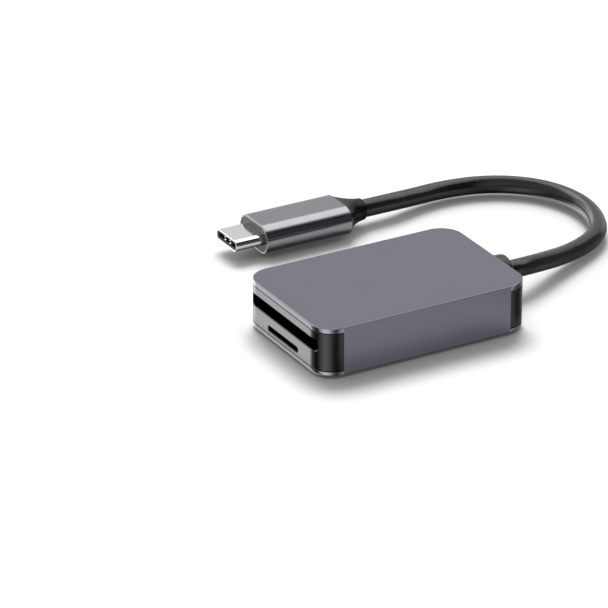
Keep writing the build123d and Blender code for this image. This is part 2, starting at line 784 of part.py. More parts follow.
# Conductors inside the plug: from the jacket's end to the pads on the plug's board
with BuildPart() as plug_wires:
    for x, pad_x in zip(spread(wire_count, wire_pitch), spread(wire_count, plug_pad_pitch)):
        pad_z = plug_z + plug_board_thickness / 2 + wire_diameter / 2 + solder_gap
        pad_point = (plug_x + pad_x, plug_board_rear - plug_pad_length, pad_z)
        route = wire_route((plug_x + x, plug_jacket_end, plug_z), wire_lead, pad_point, plug_pad_length)
        with BuildLine():
            FilletPolyline(*route, radius=wire_bend_radius)
        with BuildSketch(across(plug_jacket_end, plug_x + x, plug_z)):
            Circle(wire_diameter / 2)
        sweep()
plug_wires.part.label = "plug_wires"
export_step(plug_wires.part, "parts/plug_wires.step")
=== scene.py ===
# %% [markdown]
# # A card reader with a short cable, dressed in Blender
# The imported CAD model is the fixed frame: every piece below is made in the same place and at the
# same size, in metres. The file goes from the camera and the finishes to the housing, the cable and
# the plug, then to the inside, and ends with the studio that lights them.

# %% Load the frame
import math

import bmesh
import bpy
from mathutils import Matrix, Vector


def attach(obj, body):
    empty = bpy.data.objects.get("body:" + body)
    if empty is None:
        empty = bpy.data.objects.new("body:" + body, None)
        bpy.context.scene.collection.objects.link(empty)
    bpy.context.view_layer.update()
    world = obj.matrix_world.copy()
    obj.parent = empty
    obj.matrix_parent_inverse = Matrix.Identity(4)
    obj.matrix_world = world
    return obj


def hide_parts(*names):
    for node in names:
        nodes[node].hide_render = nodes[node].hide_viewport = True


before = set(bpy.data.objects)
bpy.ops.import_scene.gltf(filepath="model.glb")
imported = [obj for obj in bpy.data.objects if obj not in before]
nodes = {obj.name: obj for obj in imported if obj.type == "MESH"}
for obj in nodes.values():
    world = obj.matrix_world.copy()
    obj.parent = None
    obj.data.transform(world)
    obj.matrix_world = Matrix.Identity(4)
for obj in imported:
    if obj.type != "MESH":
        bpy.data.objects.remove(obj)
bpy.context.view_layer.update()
MM = 0.001
scene = bpy.context.scene

# %% [markdown]
# ## Camera
# The photograph is a long-lens product view, seen from the front right and a little above. A camera
# can be aimed with a constraint at a target. Here it is placed by its position and by the direction
# that it looks back along, so nothing has to stay in the scene to hold it.

# %% Camera
view_back = Vector((0.785577, -0.444905, 0.430032))
camera_data = bpy.data.cameras.new("studio_camera")
camera_data.sensor_width = 36.0
camera_data.lens = 266.45
camera_data.clip_end = 20.0
camera = bpy.data.objects.new("studio_camera", camera_data)
camera.location = (0.66224, -0.39324, 0.37096)
camera.rotation_euler = view_back.to_track_quat("Z", "Y").to_euler()
scene.collection.objects.link(camera)
scene.camera = camera
scene.view_settings.view_transform = "Standard"
print("camera at", tuple(round(v, 3) for v in camera.location), "lens", camera_data.lens)


# %% [markdown]
# ## Material tools
# Every finish is a small tree of nodes. A few short helpers keep the trees readable: one makes a
# material with its shader, one adds a node and sets its values, and one adds a grain, which is a
# noise pattern on the object's own coordinates, so it stays on the piece from every side.

# %% Nodes and finishes
def add_node(tree, kind, links=(), values=(), **settings):
    """A node with its settings, its values and what feeds it."""
    node = tree.nodes.new(kind)
    for key, value in settings.items():
        setattr(node, key, value)
    for socket, value in values:
        node.inputs[socket].default_value = value
    for socket, source in links:
        tree.links.new(source, node.inputs[socket])
    return node


def new_finish(name):
    """A material with an empty tree, its output and one shader."""
    material = bpy.data.materials.new(name)
    material.use_nodes = True
    tree = material.node_tree
    tree.nodes.clear()
    shader = add_node(tree, "ShaderNodeBsdfPrincipled")
    add_node(tree, "ShaderNodeOutputMaterial", [("Surface", shader.outputs["BSDF"])])
    return material, tree, shader


print("node helpers ready")


# %% Grain, colours and relief
def grain(tree, scale, detail=2.0, stretch=(1.0, 1.0, 1.0)):
    """Noise on the object's own coordinates, in grains per metre."""
    place = add_node(tree, "ShaderNodeTexCoord")
    turn = add_node(tree, "ShaderNodeMapping", [("Vector", place.outputs["Object"])], [("Scale", stretch)])
    noise = add_node(
        tree, "ShaderNodeTexNoise", [("Vector", turn.outputs["Vector"])], [("Scale", scale), ("Detail", detail)]
    )
    return noise.outputs["Fac"]


def spread_over(tree, source, low, high):
    """The noise, brought to a range of values."""
    reach = add_node(
        tree, "ShaderNodeMapRange", [("Value", source)],
        [("From Min", 0.25), ("From Max", 0.75), ("To Min", low), ("To Max", high)],
    )
    return reach.outputs["Result"]


def colour_by(tree, source, stops, blend="LINEAR"):
    """A colour that goes by a value from 0 to 1: pairs of place and colour."""
    ramp = add_node(tree, "ShaderNodeValToRGB", [("Fac", source)])
    band = ramp.color_ramp
    band.interpolation = blend
    while len(band.elements) < len(stops):
        band.elements.new(0.5)
    for stop, (place, colour) in zip(band.elements, stops):
        stop.position = place
        stop.color = (*colour, 1.0)
    return ramp.outputs["Color"]


def blend_colours(tree, source, first, second):
    """A colour between two, by the middle part of a noise."""
    return colour_by(tree, source, [(0.3, first), (0.7, second)])


def relief(tree, shader, source, height, strength=0.5):
    """Bump from a value, with its height in metres."""
    bump = add_node(
        tree, "ShaderNodeBump", [("Height", source)], [("Strength", strength), ("Distance", height)]
    )
    tree.links.new(bump.outputs["Normal"], shader.inputs["Normal"])


print("grain helpers ready")


# %% [markdown]
# ## Metal finishes
# The housing and the plug's sleeve are blasted, anodised aluminium: a satin metal whose grain is too
# fine to see one by one, so it only softens reflections and lets the colour drift a little. The lips
# at the housing's ends shine more, as metal does that is cut after blasting, so they get a finish of
# their own with a sharper reflection.

# %% Anodised aluminium
def anodised_finish(name, colour, rough, drift=0.04):
    """Dyed, blasted aluminium: a cloudy colour, and a blasted grain in its gloss and relief."""
    material, tree, shader = new_finish(name)
    cloud = grain(tree, 90.0, 3.0)
    blast = grain(tree, 5200.0, 2.0)
    paler = tuple((1.0 + drift) * c for c in colour)
    tree.links.new(blend_colours(tree, cloud, colour, paler), shader.inputs["Base Color"])
    tree.links.new(spread_over(tree, blast, 0.85 * rough, 1.15 * rough), shader.inputs["Roughness"])
    shader.inputs["Metallic"].default_value = 1.0
    relief(tree, shader, blast, 0.000004, 0.25 if rough > 0.15 else 0.05)
    return material


anodised = anodised_finish("anodised_satin", (0.204, 0.196, 0.238), 0.2)
cut_lip = anodised_finish("anodised_cut_lip", (0.335, 0.326, 0.363), 0.08)
sleeve_anodised = anodised_finish("anodised_sleeve_satin", (0.288, 0.285, 0.303), 0.2)
print("made", anodised.name, cut_lip.name, sleeve_anodised.name)

# %% [markdown]
# ### Cut lips
# The straight lips look duller than the corners, and that is painted shade: their colour is darkened,
# so they mirror the bright band in front less. Two materials would meet in a hard line, so one finish
# goes from the painted-shade colour to the bright one by the distance from the middle of the housing.

# %% Painted shade on the straight lips
# painted shade: the straight lips' colour is darkened, fading to the bright cut colour at the corners
LIP_PAINTED_SHADE, PAINTED_SHADE_TO, UNSHADED_FROM = (0.108, 0.105, 0.118), 10.2, 11.6
MIX_FIRST, MIX_SECOND, MIXED = 6, 7, 2  # the Mix node's sockets for colours
tree = cut_lip.node_tree
shader = next(n for n in tree.nodes if n.type == "BSDF_PRINCIPLED")
polished = shader.inputs["Base Color"].links[0].from_socket
place = add_node(tree, "ShaderNodeTexCoord").outputs["Object"]
across = add_node(tree, "ShaderNodeSeparateXYZ", [("Vector", place)]).outputs["X"]
aside = add_node(tree, "ShaderNodeMath", [(0, across)], operation="ABSOLUTE").outputs[0]
shade_fades_out = add_node(
    tree, "ShaderNodeMapRange", [("Value", aside)],
    [("From Min", PAINTED_SHADE_TO * MM), ("From Max", UNSHADED_FROM * MM)], interpolation_type="SMOOTHSTEP",
).outputs["Result"]
# mixes the painted-shade colour of the straight lips with the bright cut colour of the corners
both = add_node(
    tree, "ShaderNodeMix", [("Factor", shade_fades_out), (MIX_SECOND, polished)], [(MIX_FIRST, (*LIP_PAINTED_SHADE, 1.0))],
    data_type="RGBA",
)
tree.links.new(both.outputs[MIXED], shader.inputs["Base Color"])
print(cut_lip.name, "is dull on the straight lips")


# %% [markdown]
# ### Plated and rolled metals
# The plug's shell is nickel plated, the sockets and the crystal have covers of rolled steel, and the
# contacts are gold plated. They are alike but for colour and gloss, so one function makes all three,
# with a fine grain that runs along the sheet as rolling leaves it.

# %% Plated and rolled metals
def plated_finish(name, colour, rough, stretch=(1.0, 1.0, 1.0)):
    """Plated or rolled metal, with a fine rolling grain along one way."""
    material, tree, shader = new_finish(name)
    rolled = grain(tree, 1500.0, 2.0, stretch)
    dimmer = tuple(0.94 * c for c in colour)
    tree.links.new(blend_colours(tree, rolled, dimmer, colour), shader.inputs["Base Color"])
    tree.links.new(spread_over(tree, rolled, rough * 0.85, rough * 1.15), shader.inputs["Roughness"])
    shader.inputs["Metallic"].default_value = 1.0
    relief(tree, shader, rolled, 0.000001, 0.1)
    return material


nickel = plated_finish("bright_nickel_plate", (0.80, 0.80, 0.79), 0.09)
sheet_steel = plated_finish("rolled_steel_sheet", (0.58, 0.58, 0.58), 0.28, (1.0, 0.05, 1.0))
gold = plated_finish("gold_plated_contacts", (0.62, 0.43, 0.17), 0.24, (1.0, 0.1, 1.0))
print("made", [m.name for m in (nickel, sheet_steel, gold)])


# %% [markdown]
# ## Plastics
# The end caps are gloss moulded black, the collar and the boot a softer black, and the cable's jacket
# a smooth elastomer. Black plastic has almost no colour of its own: what shows is its gloss, so each
# finish differs mostly in roughness and in how strongly it mirrors, with a faint moulded flow.

# %% Black plastics
def black_finish(name, colour, rough, peel, ior):
    """Black moulded plastic: near-black colour, a little uneven gloss and a faint flow of the surface."""
    material, tree, shader = new_finish(name)
    flow = grain(tree, 260.0, 2.0)
    fine = grain(tree, 3000.0, 2.0)
    darker = tuple(0.8 * c for c in colour)
    tree.links.new(blend_colours(tree, flow, darker, colour), shader.inputs["Base Color"])
    tree.links.new(spread_over(tree, fine, rough * 0.85, rough * 1.15), shader.inputs["Roughness"])
    shader.inputs["IOR"].default_value = ior
    relief(tree, shader, flow, peel, 0.3)
    return material


gloss_black = black_finish("gloss_black_moulded", (0.006, 0.006, 0.0065), 0.07, 0.000002, 1.6)
soft_black = black_finish("soft_black_moulded", (0.006, 0.006, 0.0065), 0.20, 0.000003, 1.24)
collar_black = black_finish("collar_black_moulded", (0.016, 0.016, 0.015), 0.28, 0.000003, 1.45)
jacket_black = black_finish("cable_jacket_elastomer", (0.014, 0.014, 0.015), 0.22, 0.000002, 1.52)
face_black = black_finish("plug_face_moulded", (0.014, 0.014, 0.0145), 0.16, 0.000003, 1.45)
socket_black = black_finish("socket_black_moulded", (0.05, 0.05, 0.05), 0.4, 0.000002, 1.4)
chip_black = black_finish("chip_package_moulded", (0.020, 0.020, 0.021), 0.55, 0.000006, 1.45)
blacks = (gloss_black, soft_black, collar_black, jacket_black, face_black, socket_black, chip_black)
print("made", [m.name for m in blacks])


# %% [markdown]
# ## Wires, boards and small parts
# These are inside the housing and the plug, but the model can be taken apart, so they have finishes
# as well. The conductors carry the usual red, white, green and black. One material colours all four
# by their place, so the wires stay one piece of the CAD model. The boards have a green solder mask
# with faint tracks under it, and the capacitors are fired ceramic.

# %% Wire insulation
INSULATION = [
    (0.0, (0.45, 0.02, 0.02)), (0.25, (0.60, 0.60, 0.58)), (0.5, (0.03, 0.22, 0.05)), (0.75, (0.02, 0.02, 0.02)),
]


def insulation_finish(name, middle, near, far, near_gap, far_gap):
    """Four insulation colours side by side. The wires fan out, so the colour goes by each point's
    share of the fan's width, which grows from one distance along the cable to another."""
    material, tree, shader = new_finish(name)
    place = add_node(tree, "ShaderNodeTexCoord").outputs["Object"]
    parts = add_node(tree, "ShaderNodeSeparateXYZ", [("Vector", place)]).outputs
    gap = add_node(
        tree, "ShaderNodeMapRange", [("Value", parts["Y"])],
        [("From Min", MM * near), ("From Max", MM * far), ("To Min", MM * near_gap), ("To Max", MM * far_gap)],
    )
    aside = add_node(tree, "ShaderNodeMath", [(0, parts["X"])], [(1, MM * middle)], operation="SUBTRACT")
    share = add_node(
        tree, "ShaderNodeMath", [(0, aside.outputs[0]), (1, gap.outputs["Result"])], operation="DIVIDE"
    )
    lane = add_node(
        tree, "ShaderNodeMath", [(0, share.outputs[0])], [(1, 0.25), (2, 0.5)], operation="MULTIPLY_ADD"
    )
    tree.links.new(colour_by(tree, lane.outputs[0], INSULATION, "CONSTANT"), shader.inputs["Base Color"])
    tree.links.new(spread_over(tree, grain(tree, 2500.0), 0.4, 0.5), shader.inputs["Roughness"])
    return material


cable_insulation = insulation_finish("wire_insulation_reader", 0.0, 13.4, 16.35, 2.0, 0.85)
plug_insulation = insulation_finish("wire_insulation_plug", -42.6, 9.45, 11.6, 1.7, 0.85)
print("made", cable_insulation.name, plug_insulation.name)

# %% Board and ceramic
board_green, tree, shader = new_finish("green_solder_mask")
track = add_node(
    tree, "ShaderNodeTexWave", [("Vector", add_node(tree, "ShaderNodeTexCoord").outputs["Object"])],
    [("Scale", 320.0), ("Distortion", 3.0), ("Detail", 1.0)],
)
tree.links.new(
    blend_colours(tree, track.outputs["Fac"], (0.006, 0.050, 0.022), (0.010, 0.085, 0.040)),
    shader.inputs["Base Color"],
)
relief(tree, shader, track.outputs["Fac"], 0.00001, 0.4)
shader.inputs["Roughness"].default_value = 0.35

ceramic, tree, shader = new_finish("fired_ceramic")
speck = grain(tree, 4000.0, 3.0)
tree.links.new(blend_colours(tree, speck, (0.30, 0.18, 0.09), (0.38, 0.25, 0.14)), shader.inputs["Base Color"])
shader.inputs["Roughness"].default_value = 0.45
print("made", board_green.name, ceramic.name)


# %% [markdown]
# ## Mesh tools
# Most pieces here are skins over rings: a list of outlines with the same number of points, joined by
# quads. Flat faces are left flat and only turned ones are smoothed, so a long flat side next to a
# round corner keeps one even reflection.

# %% Rings and skins
def rounded(width, height, radius, steps=16, inset=0.0):
    """Points round a rectangle with round corners, as pairs, anticlockwise."""
    across, along = width / 2 - radius, height / 2 - radius
    corners = ((across, along), (-across, along), (-across, -along), (across, -along))
    points = []
    for quarter, (u, v) in enumerate(corners):
        for step in range(steps + 1):
            angle = math.pi / 2 * (quarter + step / steps)
            points.append((u + (radius - inset) * math.cos(angle), v + (radius - inset) * math.sin(angle)))
    return points


def skin(bm, rings, closed=False, first_cap=True):
    """Quads from each ring to the next. A closed skin joins the last ring to the first, and an open
    one gets a flat face on each end, unless the first is left to another face."""
    loops = [[bm.verts.new(point) for point in ring] for ring in rings]
    for low, high in zip(loops, loops[1:] + (loops[:1] if closed else [])):
        for i in range(len(low)):
            j = (i + 1) % len(low)
            bm.faces.new((low[i], low[j], high[j], high[i]))
    if not closed:
        bm.faces.new(loops[-1])
    if not closed and first_cap:
        bm.faces.new(list(reversed(loops[0])))
    return loops


print("rings and skins ready")

# %% Clean meshes and finished pieces
SAME_POINT, SLIVER, FLAT = 0.0004, 0.0002, 0.3  # millimetres, millimetres, degrees


def tidy_mesh(bm, smooth_below=35.0):
    """Merges doubles, turns faces outwards and smooths each face that has a gently turned neighbour."""
    bmesh.ops.remove_doubles(bm, verts=bm.verts, dist=SAME_POINT)
    bmesh.ops.dissolve_degenerate(bm, edges=bm.edges, dist=SLIVER)
    bmesh.ops.recalc_face_normals(bm, faces=bm.faces)
    for edge in bm.edges:
        turn = math.degrees(edge.calc_face_angle(0.0))
        edge.smooth = turn < smooth_below
        if FLAT < turn < smooth_below:
            for face in edge.link_faces:
                face.smooth = True


def stand_for(piece, node):
    """Sets a finished piece in the place of a CAD node."""
    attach(piece, "root")
    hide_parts(node)
    print(piece.name, "stands for", node, "with", len(piece.data.polygons), "faces")
    return piece


def piece_from(bm, name, *finishes):
    """An object at the origin from a mesh in millimetres."""
    bmesh.ops.scale(bm, vec=(MM, MM, MM), verts=bm.verts)
    mesh = bpy.data.meshes.new(name)
    bm.to_mesh(mesh)
    bm.free()
    for finish in finishes:
        mesh.materials.append(finish)
    piece = bpy.data.objects.new(name, mesh)
    scene.collection.objects.link(piece)
    return piece


print("mesh tools ready")


# %% [markdown]
# ## Housing
# The real housing is an extruded tube of aluminium whose side walls are milled back at both ends, so
# its top and bottom plates stand out as two lips round each black cap. It could be cut from a block
# with booleans. Building it as two plates and two walls gives clean faces instead: each plate is a
# skin over rings of its rounded outline, with finely rounded edges, and the walls carry the grooves
# that hold the circuit board.

# %% Housing plates
HOUSING_WIDTH, HOUSING_LENGTH, HOUSING_HEIGHT, CORNER = 30.0, 45.5, 9.75, 4.6
BORE_LOW, BORE_TOP = 0.85, 8.8
WALL_END, WALL_FACE = HOUSING_LENGTH / 2 - CORNER, 14.0
TOP_EDGE, UNDER_EDGE, LIP_EDGE = 0.15, 0.34, 0.02
EDGE_STEPS, LIP_STEPS, CORNER_STEPS, A_BIT = 5, 4, 32, 0.01


def outline_at(inset):
    """The housing's outline, drawn in by a distance."""
    return rounded(HOUSING_WIDTH, HOUSING_LENGTH, CORNER, CORNER_STEPS, inset)


def plate(bm, outer_z, inner_z, edge):
    """A plate with its outer edge rounded all round, and its inner edge only on the lips."""
    up = 1.0 if outer_z > inner_z else -1.0
    rings = []
    for step in range(LIP_STEPS + 1):
        angle = math.pi / 2 * step / LIP_STEPS
        inset, rise = LIP_EDGE * (1 - math.sin(angle)), LIP_EDGE * (1 - math.cos(angle))
        rings.append([
            (*eased, inner_z + up * rise) if abs(bare[1]) > WALL_END + A_BIT else (*bare, inner_z)
            for bare, eased in zip(outline_at(0.0), outline_at(inset))
        ])
    for step in range(EDGE_STEPS + 1):
        angle = math.pi / 2 * step / EDGE_STEPS
        inset, drop = edge * (1 - math.cos(angle)), edge * (1 - math.sin(angle))
        rings.append([(x, y, outer_z - up * drop) for x, y in outline_at(inset)])
    lip = skin(bm, rings, first_cap=False)[0]
    inside = [bm.verts.new((x, y, inner_z)) for x, y in wall_inside]
    half = len(lip) // 2
    bm.faces.new(lip[:half] + inside[:2] + lip[half:] + inside[2:])


wall_inside = [(-WALL_FACE, WALL_END), (-WALL_FACE, -WALL_END), (WALL_FACE, -WALL_END), (WALL_FACE, WALL_END)]
housing_mesh = bmesh.new()
plate(housing_mesh, HOUSING_HEIGHT, BORE_TOP, TOP_EDGE)
plate(housing_mesh, 0.0, BORE_LOW, UNDER_EDGE)
print("plates with", len(housing_mesh.faces), "faces")

# %% Housing walls
WALL_OUTSIDE, RAIL_FACE, RAILS = HOUSING_WIDTH / 2, 13.55, ((4.65, 4.0), (3.15, 2.5))
wall_section = [(WALL_OUTSIDE, BORE_LOW), (WALL_OUTSIDE, BORE_TOP), (WALL_FACE, BORE_TOP)]
for top, under in RAILS:
    wall_section += [(WALL_FACE, top), (RAIL_FACE, top), (RAIL_FACE, under), (WALL_FACE, under)]
wall_section.append((WALL_FACE, BORE_LOW))
for side in (1.0, -1.0):
    front, back = (
        [housing_mesh.verts.new((side * x, y, z)) for x, z in wall_section] for y in (-WALL_END, WALL_END)
    )
    for i, (_, low) in enumerate(wall_section):
        j = (i + 1) % len(wall_section)
        on_a_plate = low == wall_section[j][1] and low in (BORE_LOW, BORE_TOP)
        if not on_a_plate:
            housing_mesh.faces.new((front[i], front[j], back[j], back[i]))
    housing_mesh.faces.new(front)
    housing_mesh.faces.new(back)
print("walls with", 2 * len(RAILS), "rails for the board")

# %% Housing finish
tidy_mesh(housing_mesh)
for face in housing_mesh.faces:
    middle = face.calc_center_median()
    upright, level = abs(face.normal.z) < 0.7, abs(face.normal.z) > 0.99
    face.material_index = int(upright and abs(middle.y) > WALL_END + 2 * A_BIT)
    if level and BORE_LOW - A_BIT < middle.z < BORE_TOP + A_BIT:
        face.smooth = False
open_edges = [e for e in housing_mesh.edges if len(e.link_faces) != 2]
print("housing with", len(housing_mesh.faces), "faces and", len(open_edges), "open edges")
housing = piece_from(housing_mesh, "housing_extrusion", anodised, cut_lip)
weigh = housing.modifiers.new("flat_faces_stay_flat", "WEIGHTED_NORMAL")
weigh.keep_sharp = True
stand_for(housing, "aluminium_housing")

# %% [markdown]
# ## Collar
# The collar is a turned-looking moulding that guards the cable where it leaves the housing: a short
# round body with a soft front edge, a neck through the cap's wall and a flat flange behind it. A
# round piece is easiest as rings of circles along its axis, closed through the bore.

# %% Collar
CABLE_DIAMETER, CABLE_HEIGHT = 3.7, 5.05
COLLAR_END, COLLAR_BORE, COLLAR_RADIUS, NOSE, NOSE_MIDDLE = 26.5, 1.88, 3.6, 0.7, 2.71
NECK, FLANGE_HOLE, FLANGE_FROM, FLANGE_TO, BODY_FROM = 2.35, 2.3, 18.55, 19.75, 22.75
FLANGE_WIDTH, FLANGE_HEIGHT, FLANGE_CORNER = 8.4, 4.76, 1.2


def turned(bm, outline, x, z, steps=72):
    """A closed skin round an axis along Y, from pairs of place along it and radius."""
    rings = []
    for y, radius in outline:
        turns = [2 * math.pi * k / steps for k in range(steps)]
        rings.append([(x + radius * math.cos(a), y, z + radius * math.sin(a)) for a in turns])
    skin(bm, rings, closed=True)


collar_mesh = bmesh.new()
nose = [math.pi / 2 * k / 8 for k in range(9)]
collar_outline = [
    (FLANGE_FROM, COLLAR_BORE), (FLANGE_FROM, NECK), (BODY_FROM, NECK), (BODY_FROM, COLLAR_RADIUS - 0.05),
    (BODY_FROM + 0.05, COLLAR_RADIUS),
]
collar_outline += [(COLLAR_END - NOSE + NOSE * math.sin(a), NOSE_MIDDLE + NOSE * math.cos(a)) for a in nose]
collar_outline += [(COLLAR_END, COLLAR_BORE + 0.07), (COLLAR_END - 0.08, COLLAR_BORE)]
turned(collar_mesh, collar_outline, 0.0, CABLE_HEIGHT)
flange = [(u, v + CABLE_HEIGHT) for u, v in rounded(FLANGE_WIDTH, FLANGE_HEIGHT, FLANGE_CORNER, 8)]
hole = []
for u, v in flange:
    drawn_in = FLANGE_HOLE / math.hypot(u, v - CABLE_HEIGHT)
    hole.append((drawn_in * u, CABLE_HEIGHT + drawn_in * (v - CABLE_HEIGHT)))
flange_rings = ((flange, FLANGE_FROM), (flange, FLANGE_TO), (hole, FLANGE_TO), (hole, FLANGE_FROM))
skin(collar_mesh, [[(u, y, v) for u, v in outline] for outline, y in flange_rings], closed=True)
tidy_mesh(collar_mesh)
collar = stand_for(piece_from(collar_mesh, "collar_moulding", collar_black), "cable_collar")

# %% [markdown]
# ## Cable
# The jacket is a round tube that leaves the collar, comes down to the table, goes round in one loop
# and rises to the plug. A mesh swept along many points would look like bent wire. A NURBS curve with
# a round bevel bends as a jacket does: its control points are the route's points.

# %% Cable
cable_route = [
    (0.0, 23.5, 5.05), (0.0, 26.5, 5.05), (0.0, 29.8, 5.05), (-1.6, 34.7, 4.2), (-5.3, 43.2, 2.4),
    (-8.5, 50.4, 1.85), (-12.3, 55.7, 1.85), (-18.7, 59.0, 1.85), (-25.8, 60.2, 1.85), (-33.4, 58.5, 1.85),
    (-39.4, 54.1, 1.85), (-43.5, 47.3, 1.85), (-44.9, 39.3, 1.9), (-44.1, 32.2, 2.2), (-42.6, 25.8, 3.0),
    (-42.6, 16.1, 3.0),
]
cable_curve = bpy.data.curves.new("cable_jacket", "CURVE")
cable_curve.dimensions = "3D"
spline = cable_curve.splines.new("NURBS")
spline.points.add(len(cable_route) - 1)
for control, place in zip(spline.points, cable_route):
    control.co = (*(MM * v for v in place), 1.0)
spline.order_u = 3
spline.use_endpoint_u = True
spline.resolution_u = 16
cable_curve.bevel_depth = MM * CABLE_DIAMETER / 2
cable_curve.bevel_resolution = 10
cable_curve.use_fill_caps = True
cable = bpy.data.objects.new("cable_jacket", cable_curve)
scene.collection.objects.link(cable)
cable_curve.materials.append(jacket_black)
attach(cable, "root")
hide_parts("cable")
print("cable length in mm:", round(spline.calc_length() / MM, 1))


# %% [markdown]
# ## Plug sleeve and shell
# Both are tubes with a flattened round section: the sleeve is drawn aluminium, the shell drawn and
# plated steel. One Geometry Nodes tree makes either: a rectangle with fully rounded ends is the path,
# the wall's own long section is the profile, and Curve to Mesh sweeps it once round. Edges that turn
# sharply stay sharp, so the long flat sides shade evenly.

# %% Tools for trees
def tree_with(name, inputs):
    """A node tree that takes the named sizes and gives geometry."""
    tree = bpy.data.node_groups.new(name, "GeometryNodeTree")
    tree.interface.new_socket("Geometry", in_out="INPUT", socket_type="NodeSocketGeometry")
    for label, kind in inputs:
        tree.interface.new_socket(label, in_out="INPUT", socket_type=kind)
    tree.interface.new_socket("Geometry", in_out="OUTPUT", socket_type="NodeSocketGeometry")
    return tree, tree.nodes.new("NodeGroupInput").outputs


def solved(tree, first, second, operation, third=None):
    """A maths node in a tree, on sockets or numbers."""
    node = add_node(tree, "ShaderNodeMath", operation=operation)
    for socket, value in zip(node.inputs, (first, second, third)):
        if isinstance(value, (int, float)):
            socket.default_value = value
        elif value is not None:
            tree.links.new(value, socket)
    return node.outputs[0]


FLOAT, WHOLE, FINISH = "NodeSocketFloat", "NodeSocketInt", "NodeSocketMaterial"
print("tree tools ready")

# %% Tube tree: path and wall
ROUND_END, END_STEPS, PATH_POINTS, EDGE_POINTS = 0.4999, 32, 260, 4
tube_tree, given = tree_with("flattened_tube", [
    ("Width", FLOAT), ("Height", FLOAT), ("Wall", FLOAT), ("Length", FLOAT), ("Edge", FLOAT),
    ("Place X", FLOAT), ("Place Y", FLOAT), ("Place Z", FLOAT), ("Finish", FINISH),
])
mid_width = solved(tube_tree, given["Width"], given["Wall"], "SUBTRACT")
mid_height = solved(tube_tree, given["Height"], given["Wall"], "SUBTRACT")
box = add_node(
    tube_tree, "GeometryNodeCurvePrimitiveQuadrilateral", [("Width", mid_width), ("Height", mid_height)]
)
ends = add_node(
    tube_tree, "GeometryNodeFilletCurve",
    [("Curve", box.outputs[0]), ("Radius", solved(tube_tree, mid_height, ROUND_END, "MULTIPLY"))],
    [("Count", END_STEPS), ("Limit Radius", True)], mode="POLY",
)
even = add_node(tube_tree, "GeometryNodeResampleCurve", [("Curve", ends.outputs[0])], [("Count", PATH_POINTS)])
path = add_node(tube_tree, "GeometryNodeSetCurveNormal", [("Curve", even.outputs[0])], mode="Z_UP")
wall = add_node(
    tube_tree, "GeometryNodeCurvePrimitiveQuadrilateral", [("Width", given["Wall"]), ("Height", given["Length"])]
)
eased = add_node(
    tube_tree, "GeometryNodeFilletCurve", [("Curve", wall.outputs[0]), ("Radius", given["Edge"])],
    [("Count", EDGE_POINTS), ("Limit Radius", True)], mode="POLY",
)
swept = add_node(
    tube_tree, "GeometryNodeCurveToMesh", [("Curve", path.outputs[0]), ("Profile Curve", eased.outputs[0])]
)
print("tube path and wall with", len(tube_tree.nodes), "nodes")

# %% Tube tree: shading and place
SHARP_FROM = 0.15  # radians
fold = add_node(tube_tree, "GeometryNodeInputMeshEdgeAngle")
sharp = add_node(
    tube_tree, "FunctionNodeCompare", [(0, fold.outputs["Unsigned Angle"])], [(1, SHARP_FROM)],
    data_type="FLOAT", operation="GREATER_THAN",
)
smooth = add_node(tube_tree, "GeometryNodeSetShadeSmooth", [(0, swept.outputs[0])], [("Shade Smooth", True)])
creased = add_node(
    tube_tree, "GeometryNodeSetShadeSmooth", [(0, smooth.outputs[0]), ("Selection", sharp.outputs[0])],
    [("Shade Smooth", False)], domain="EDGE",
)
spot = add_node(
    tube_tree, "ShaderNodeCombineXYZ", [("X", given["Place X"]), ("Y", given["Place Y"]), ("Z", given["Place Z"])]
)
set_down = add_node(
    tube_tree, "GeometryNodeTransform", [("Geometry", creased.outputs[0]), ("Translation", spot.outputs[0])],
    [("Rotation", (math.pi / 2, 0.0, 0.0))],
)
whole = add_node(tube_tree, "GeometryNodeRealizeInstances", [("Geometry", set_down.outputs[0])])
dressed = add_node(
    tube_tree, "GeometryNodeSetMaterial", [("Geometry", whole.outputs[0]), ("Material", given["Finish"])]
)
add_node(tube_tree, "NodeGroupOutput", [(0, dressed.outputs[0])])
print("tube tree with", len(tube_tree.nodes), "nodes")


# %% Sleeve and shell
def grown(name, tree, start=None, **sizes):
    """Runs a tree on a start mesh and keeps the result as a plain mesh at the origin."""
    carrier = bpy.data.objects.new(name + "_start", start or bpy.data.meshes.new(name + "_start"))
    scene.collection.objects.link(carrier)
    modifier = carrier.modifiers.new("grow", "NODES")
    modifier.node_group = tree
    for item in tree.interface.items_tree:
        label = item.name.lower().replace(" ", "_")
        if item.in_out == "INPUT" and label in sizes:
            modifier[item.identifier] = sizes[label]
    bpy.context.view_layer.update()
    seen = carrier.evaluated_get(bpy.context.evaluated_depsgraph_get())
    mesh = bpy.data.meshes.new_from_object(seen)
    mesh.name = name
    bpy.data.objects.remove(carrier)
    piece = bpy.data.objects.new(name, mesh)
    scene.collection.objects.link(piece)
    return piece


PLUG_X, PLUG_Z = -42.6, 3.0
SLEEVE_FRONT, SLEEVE_REAR, SHELL_TIP, SHELL_REAR = -5.4, 13.8, -11.55, 1.0
sleeve = grown(
    "sleeve_tube", tube_tree, width=11.3 * MM, height=6.0 * MM, wall=0.4 * MM,
    length=(SLEEVE_REAR - SLEEVE_FRONT) * MM, edge=0.09 * MM, place_x=PLUG_X * MM,
    place_y=(SLEEVE_FRONT + SLEEVE_REAR) / 2 * MM, place_z=PLUG_Z * MM, finish=sleeve_anodised,
)
stand_for(sleeve, "plug_sleeve")
shell = grown(
    "shell_tube", tube_tree, width=8.25 * MM, height=2.4 * MM, wall=0.3 * MM,
    length=(SHELL_REAR - SHELL_TIP) * MM, edge=0.148 * MM, place_x=PLUG_X * MM,
    place_y=(SHELL_TIP + SHELL_REAR) / 2 * MM, place_z=PLUG_Z * MM, finish=nickel,
)
stand_for(shell, "plug_shell")

